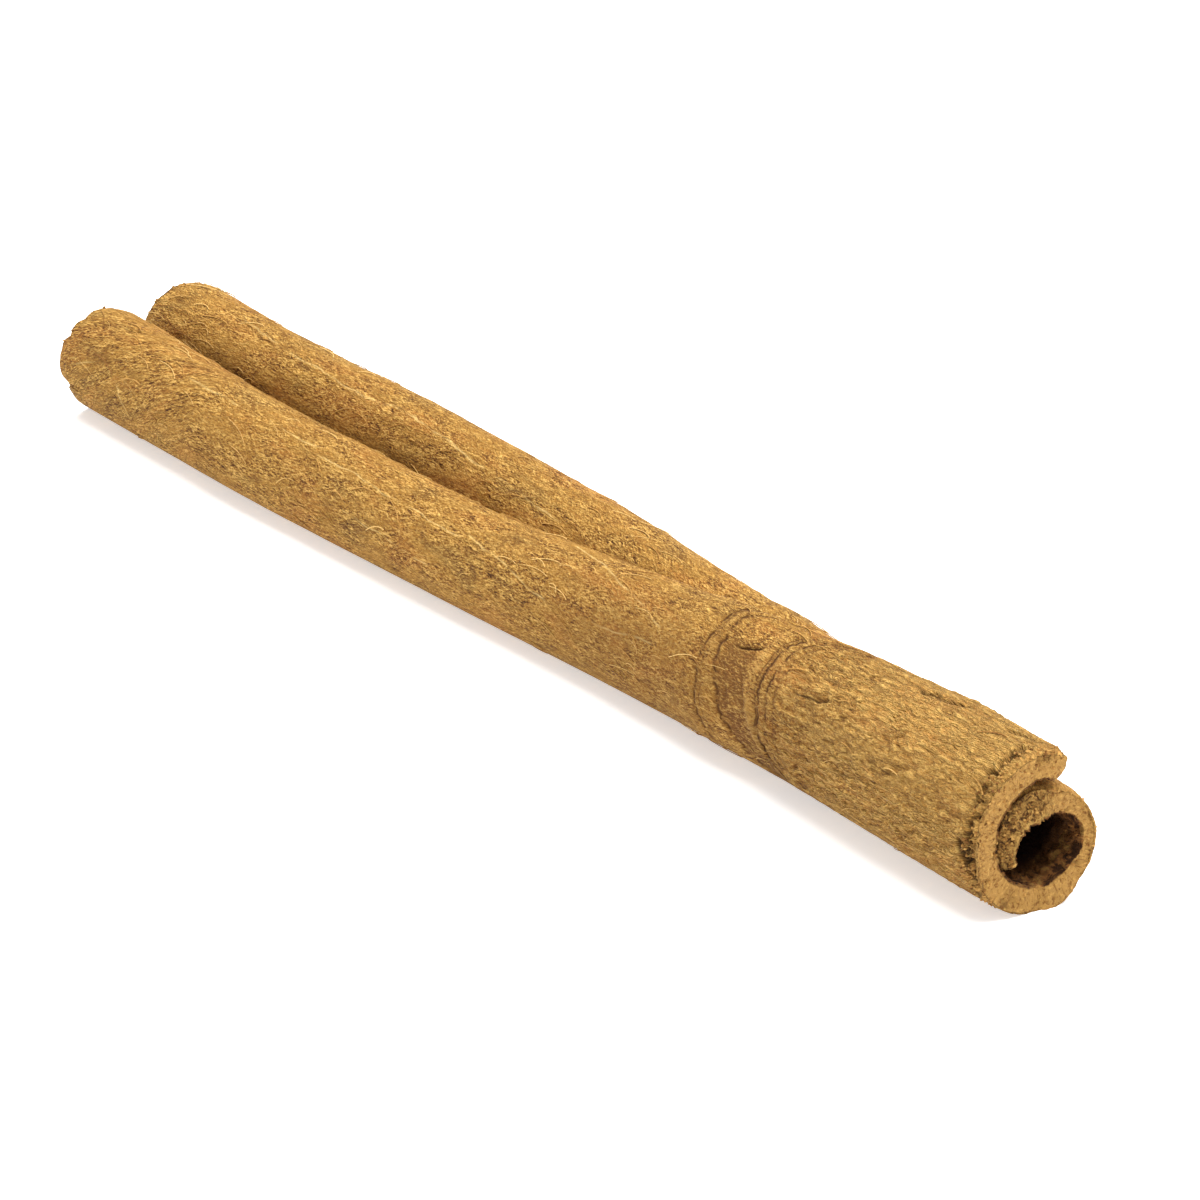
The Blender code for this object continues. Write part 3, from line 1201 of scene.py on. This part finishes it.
@dataclass(frozen=True)
class BitFinish:
    """Dry bits of bark, each lighter or darker by its own stored shade."""

    name: str
    light: Colour
    middle: Colour
    dark: Colour
    specks: float = 5200.0
    relief: float = 0.04
    roughness: float = 0.9
    specular: float = 0.2

    def build(self) -> bpy.types.Material:
        """Make the material.

        Returns:
            The material, which reads each bit's shade.
        """
        material, shader = dull_material(self.name, self.roughness, self.specular)
        tree = material.node_tree
        source = tree.nodes.new("ShaderNodeAttribute")
        source.attribute_name = "shade"
        shade = Amount(tree, source.outputs["Fac"])
        where = tree.nodes.new("ShaderNodeTexCoord").outputs["Object"]
        specks = grain(tree, where, 2.0, 0.6, 0.3, self.specks)
        paint = Paint(tree, self.middle)
        paint.over(self.light, shade.ease(0.45, 1.0))
        paint.over(self.dark, shade.ease(0.45, 0.0))
        paint.over(self.dark, specks.ease(0.46, 0.34) * 0.6)
        tree.links.new(paint.socket, shader.inputs["Base Color"])
        raise_relief(shader, specks, self.relief)
        return material


@dataclass
class BarkBits:
    """Small bits of bark that one geometry tree scatters over the sheet.

    The smallest and the largest scale are shares of the bit's own shape, along the
    stick, round the sheet and out from it.
    """

    name: str
    seed: int
    per_square: float
    smallest: tuple[float, float, float]
    largest: tuple[float, float, float]
    tilt: float
    turn: float
    finish: BitFinish

    def shape(self, bench: NodeBench) -> bpy.types.NodeSocket:
        """Make one bit, which lies along X and stands up along Z."""
        raise NotImplementedError

    def share(self, x: Amount, girth: Amount, depth: Amount) -> Amount:
        """Say how thickly bits lie at a place on the sheet, from 0 to 1."""
        raise NotImplementedError

    def chance(self, bench: NodeBench, low: Sequence[float], high: Sequence[float],
               seed: int) -> bpy.types.NodeSocket:
        """A random vector for each bit.

        Args:
            bench: The tree.
            low: Its lowest values.
            high: Its highest values.
            seed: Offset from the seed of this kind of bit.

        Returns:
            The vector.
        """
        node = bench.node("FunctionNodeRandomValue", data_type="FLOAT_VECTOR")
        node.inputs[0].default_value = low
        node.inputs[1].default_value = high
        node.inputs["Seed"].default_value = self.seed + seed
        return node.outputs[0]

    def attitude(self, bench: NodeBench, normal: bpy.types.NodeSocket) -> bpy.types.NodeSocket:
        """Lay a bit on the sheet, roughly along the stick.

        Args:
            bench: The tree.
            normal: The sheet's normal.

        Returns:
            The rotation of each bit.
        """
        upright = bench.node("FunctionNodeAlignRotationToVector", axis="Z")
        bench.link(normal, upright.inputs["Vector"])
        lengthways = bench.node("FunctionNodeAlignRotationToVector", axis="X", pivot_axis="Z")
        lengthways.inputs["Vector"].default_value = (1.0, 0.0, 0.0)
        bench.link(upright.outputs[0], lengthways.inputs["Rotation"])
        tilt, turn = math.radians(self.tilt), math.radians(self.turn)
        askew = bench.node("FunctionNodeEulerToRotation")
        bench.link(self.chance(bench, (-tilt, -tilt, -turn), (tilt, tilt, turn), 1), askew.inputs[0])
        both = bench.node("FunctionNodeRotateRotation", rotation_space="LOCAL")
        bench.link(lengthways.outputs[0], both.inputs[0])
        bench.link(askew.outputs[0], both.inputs[1])
        return both.outputs[0]

    def build(self, sheet: bpy.types.Object) -> bpy.types.Object:
        """Scatter the bits.

        Args:
            sheet: The finished bark that they lie on.

        Returns:
            The finished piece.
        """
        bench = NodeBench(self.name)
        material = bench.take_item("Finish", "NodeSocketMaterial", self.finish.build())
        crowd = bench.take("Bits per square metre", self.per_square / (MM * MM))
        height = bench.split(bench.node("GeometryNodeInputPosition").outputs[0])[2]
        share = self.share(*bench.stored("unrolled")) * height.ease(0.4 * MM, 0.9 * MM)
        scatter = bench.after(bench.start.outputs["Start"], "GeometryNodeDistributePointsOnFaces",
                              distribute_method="RANDOM")
        scatter.inputs["Seed"].default_value = self.seed
        feed(bench.tree, share.held() * crowd, scatter.inputs["Density"])

        lay = bench.after(scatter.outputs["Points"], "GeometryNodeInstanceOnPoints")
        bench.link(self.shape(bench), lay.inputs["Instance"])
        bench.link(self.attitude(bench, scatter.outputs["Normal"]), lay.inputs["Rotation"])
        bench.link(self.chance(bench, self.smallest, self.largest, 2), lay.inputs["Scale"])
        shade = bench.after(lay.outputs[0], "GeometryNodeStoreNamedAttribute",
                            data_type="FLOAT", domain="INSTANCE")
        shade.inputs["Name"].default_value = "shade"
        light = bench.split(self.chance(bench, (0.0, 0.0, 0.0), (1.0, 1.0, 1.0), 3))[0]
        feed(bench.tree, light, shade.inputs["Value"])
        bench.end(shade.outputs[0], material)
        return bench.run(self.name, sheet.data)


@dataclass
class LooseFibres(BarkBits):
    """Fine strands of bast that have come partly loose from the skin."""

    name: str = "loose_fibres"
    seed: int = 11
    per_square: float = 0.55
    smallest: tuple[float, float, float] = (0.7, 0.4, 0.5)
    largest: tuple[float, float, float] = (2.3, 1.6, 1.4)
    tilt: float = 1.0
    turn: float = 32.0
    finish: BitFinish = BitFinish(
        "bark_fibre", linear(228, 186, 112), linear(190, 142, 74), linear(140, 95, 44))
    thickness: float = 0.045
    bow: float = 0.14
    lift: float = 0.04

    def shape(self, bench: NodeBench) -> bpy.types.NodeSocket:
        """Make one bent strand that tapers to both ends, a millimetre long."""
        strand = bench.node("GeometryNodeCurveQuadraticBezier")
        strand.inputs["Resolution"].default_value = 6
        for name, spot in (("Start", (-0.5, 0.0, 0.0)), ("Middle", (0.1, self.bow * 2.0, self.lift * 2.0)),
                           ("End", (0.5, 0.0, 0.01))):
            strand.inputs[name].default_value = [value * MM for value in spot]
        place = Amount(bench.tree, bench.node("GeometryNodeSplineParameter").outputs["Factor"])
        taper = bench.after(strand.outputs[0], "GeometryNodeSetCurveRadius")
        feed(bench.tree, (place * math.pi).sin().least(0.0) ** 0.6 + 0.08, taper.inputs["Radius"])
        outline = bench.node("GeometryNodeCurvePrimitiveCircle")
        outline.inputs["Resolution"].default_value = 3
        outline.inputs["Radius"].default_value = self.thickness * 0.5 * MM
        body = bench.after(taper.outputs[0], "GeometryNodeCurveToMesh")
        body.inputs["Fill Caps"].default_value = True
        bench.link(outline.outputs["Curve"], body.inputs["Profile Curve"])
        return body.outputs[0]

    def share(self, x: Amount, girth: Amount, depth: Amount) -> Amount:
        """Strands all over the outer skin, more of them at the two cuts."""
        along = (x.ease(4.0, 0.0) * 0.5 + 0.5) * (x.ease(65.0, 60.0) * 0.75 + 0.25)
        return depth.ease(0.03, 0.0) * along * x.ease(79.4, 78.6)


@dataclass
class RimCrumbs(BarkBits):
    """Crumbs that the saw left on the cut faces and along the near rim."""

    name: str = "rim_crumbs"
    seed: int = 23
    per_square: float = 16.0
    smallest: tuple[float, float, float] = (0.04, 0.04, 0.03)
    largest: tuple[float, float, float] = (0.15, 0.11, 0.09)
    tilt: float = 180.0
    turn: float = 180.0
    finish: BitFinish = BitFinish(
        "bark_crumb", linear(190, 146, 80), linear(160, 116, 58), linear(112, 74, 34))

    def shape(self, bench: NodeBench) -> bpy.types.NodeSocket:
        """Make one crumb of twenty faces and a millimetre's radius."""
        crumb = bench.node("GeometryNodeMeshIcoSphere")
        crumb.inputs["Radius"].default_value = MM
        crumb.inputs["Subdivisions"].default_value = 1
        where = bench.node("GeometryNodeInputPosition").outputs[0]
        rough = bench.node("ShaderNodeTexNoise")
        rough.inputs["Scale"].default_value = 1.3 / MM
        bench.link(where, rough.inputs["Vector"])
        uneven = bench.after(crumb.outputs["Mesh"], "GeometryNodeSetPosition")
        shift = [part * MM * 1.6 - 0.8 * MM for part in bench.split(rough.outputs["Color"])]
        bench.link(point(bench.tree, *shift), uneven.inputs["Offset"])
        return uneven.outputs["Geometry"]

    def share(self, x: Amount, girth: Amount, depth: Amount) -> Amount:
        """Thin on the cut faces, thick along the near rim and where the inner roll is torn."""
        face = depth.ease(0.02, 0.06) * depth.ease(0.94, 0.88) * (x.ease(79.0, 79.3) + x.ease(0.6, 0.3))
        rim = depth.ease(0.05, 0.0) * girth.ease(0.0, -1.5) * x.ease(79.3, 79.7) * x.ease(80.45, 80.25) * 0.8
        return face * (girth.ease(8.6, 10.8) * 0.8 + 0.2) + rim


@dataclass
class Lamp:
    """A soft square light, placed by azimuth and elevation round the stick."""

    name: str
    azimuth: float
    elevation: float
    distance: float
    width: float
    power: float

    def build(self, target: Vector) -> bpy.types.Object:
        """Make the light.

        Args:
            target: The point that it faces, in metres.

        Returns:
            The light.
        """
        data = bpy.data.lights.new(self.name, "AREA")
        data.shape = "SQUARE"
        data.size = self.width
        data.energy = self.power
        lamp = bpy.data.objects.new(self.name, data)
        back = direction(self.azimuth, self.elevation)
        lamp.location = target + back * self.distance
        lamp.rotation_euler = back.to_track_quat("Z", "Y").to_euler()
        bpy.context.scene.collection.objects.link(lamp)
        return lamp


def direction(azimuth: float, elevation: float) -> Vector:
    """Unit vector from the stick towards a viewer or a light.

    Args:
        azimuth: 0 looks along +Y and 90 along -X, in degrees.
        elevation: Height over the horizon, in degrees.

    Returns:
        The direction.
    """
    a, e = math.radians(azimuth), math.radians(elevation)
    return Vector((math.sin(a) * math.cos(e), -math.cos(a) * math.cos(e), math.sin(e)))


@dataclass
class Studio:
    """Pale floor, soft lights and the camera at the photograph's angle.

    The floor's half width is in metres, and so are the sizes and distances of the lamps.
    """

    azimuth: float = 55.24
    elevation: float = 23.2
    distance: float = 500.0
    focal_pixels: float = 9777.0
    target: tuple[float, float, float] = (3.306, -0.306, 3.103)
    floor_glow: float = 0.52
    floor_shade: float = 0.86
    floor_half: float = 3.0
    surround: float = 0.41
    lamps: tuple[Lamp, ...] = (
        Lamp("key", 188.0, 76.0, 0.6, 0.75, 10.6),
        Lamp("fill", 80.0, 25.0, 0.7, 0.5, 0.7),
    )

    def build_floor(self) -> bpy.types.Object:
        """Make the floor.

        Returns:
            A large pale square under the stick.
        """
        mesh = bpy.data.meshes.new("floor")
        half = self.floor_half
        corners = [(-half, -half, 0.0), (half, -half, 0.0), (half, half, 0.0), (-half, half, 0.0)]
        mesh.from_pydata(corners, [], [(0, 1, 2, 3)])
        mesh.materials.append(PlainFinish("floor", (self.floor_shade,) * 3, self.floor_glow).build())
        floor = bpy.data.objects.new("floor", mesh)
        bpy.context.scene.collection.objects.link(floor)
        return floor

    def build_camera(self) -> bpy.types.Object:
        """Make the camera and use it for the scene.

        Returns:
            The camera.
        """
        data = bpy.data.cameras.new("camera")
        data.sensor_width = 36.0
        data.lens = self.focal_pixels / PHOTO_PIXELS * data.sensor_width
        data.clip_start, data.clip_end = 0.01, 20.0
        camera = bpy.data.objects.new("camera", data)
        target = Vector(self.target) * MM
        back = direction(self.azimuth, self.elevation)
        camera.location = target + back * self.distance * MM
        camera.rotation_euler = back.to_track_quat("Z", "Y").to_euler()
        bpy.context.scene.collection.objects.link(camera)
        bpy.context.scene.camera = camera
        return camera

    def build(self) -> None:
        """Make the floor, the lights, the surrounding light and the camera."""
        target = Vector(self.target) * MM
        self.build_floor()
        for lamp in self.lamps:
            lamp.build(target)
        world = bpy.data.worlds.new("surround")
        world.use_nodes = True
        glow = world.node_tree.nodes["Background"]
        glow.inputs["Color"].default_value = WHITE
        glow.inputs["Strength"].default_value = self.surround
        bpy.context.scene.world = world
        bpy.context.scene.view_settings.view_transform = "Standard"
        self.build_camera()


def report(piece: bpy.types.Object) -> None:
    """Log a finished piece."""
    LOG.info("%s: %d faces", piece.name, len(piece.data.polygons))


def main() -> None:
    """Dress the stick and set up the studio."""
    logging.basicConfig(level=logging.INFO, format="%(name)s %(message)s")
    bark = CurledSheet().build(BarkFinish())
    bits = [kind.build(bark) for kind in (LooseFibres(), RimCrumbs())]
    for piece in (bark, *bits):
        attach(piece, "root")
        report(piece)
    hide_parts("cinnamon_quill")
    Studio().build()


if __name__ == "__main__":
    main()
